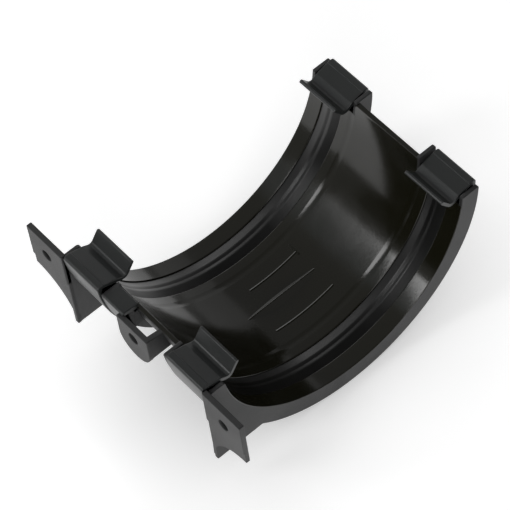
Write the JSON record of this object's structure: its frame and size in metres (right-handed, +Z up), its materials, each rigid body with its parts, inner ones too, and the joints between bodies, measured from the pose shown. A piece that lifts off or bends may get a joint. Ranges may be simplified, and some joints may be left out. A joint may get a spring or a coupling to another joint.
{
  "type": "gutter union bracket",
  "caption": "Half-round gutter union bracket: trough with sealed sockets and spring clips at each end, screw ears and a back lug for fixing to a fascia.",
  "frame": {"origin": "in the fascia plane, midway between the two ear screws", "axes": "+X along the gutter, +Y from the fascia out to the front, +Z up"},
  "size_m": [0.1198, 0.1318, 0.0643],
  "materials": {
    "moulding": "black PVC-U, satin outside and glossy inside",
    "seal": "satin black rubber"
  },
  "bodies": {
    "root": {"bracket": "moulding", "seal_left": "seal", "seal_right": "seal"}
  },
  "joints": []
}
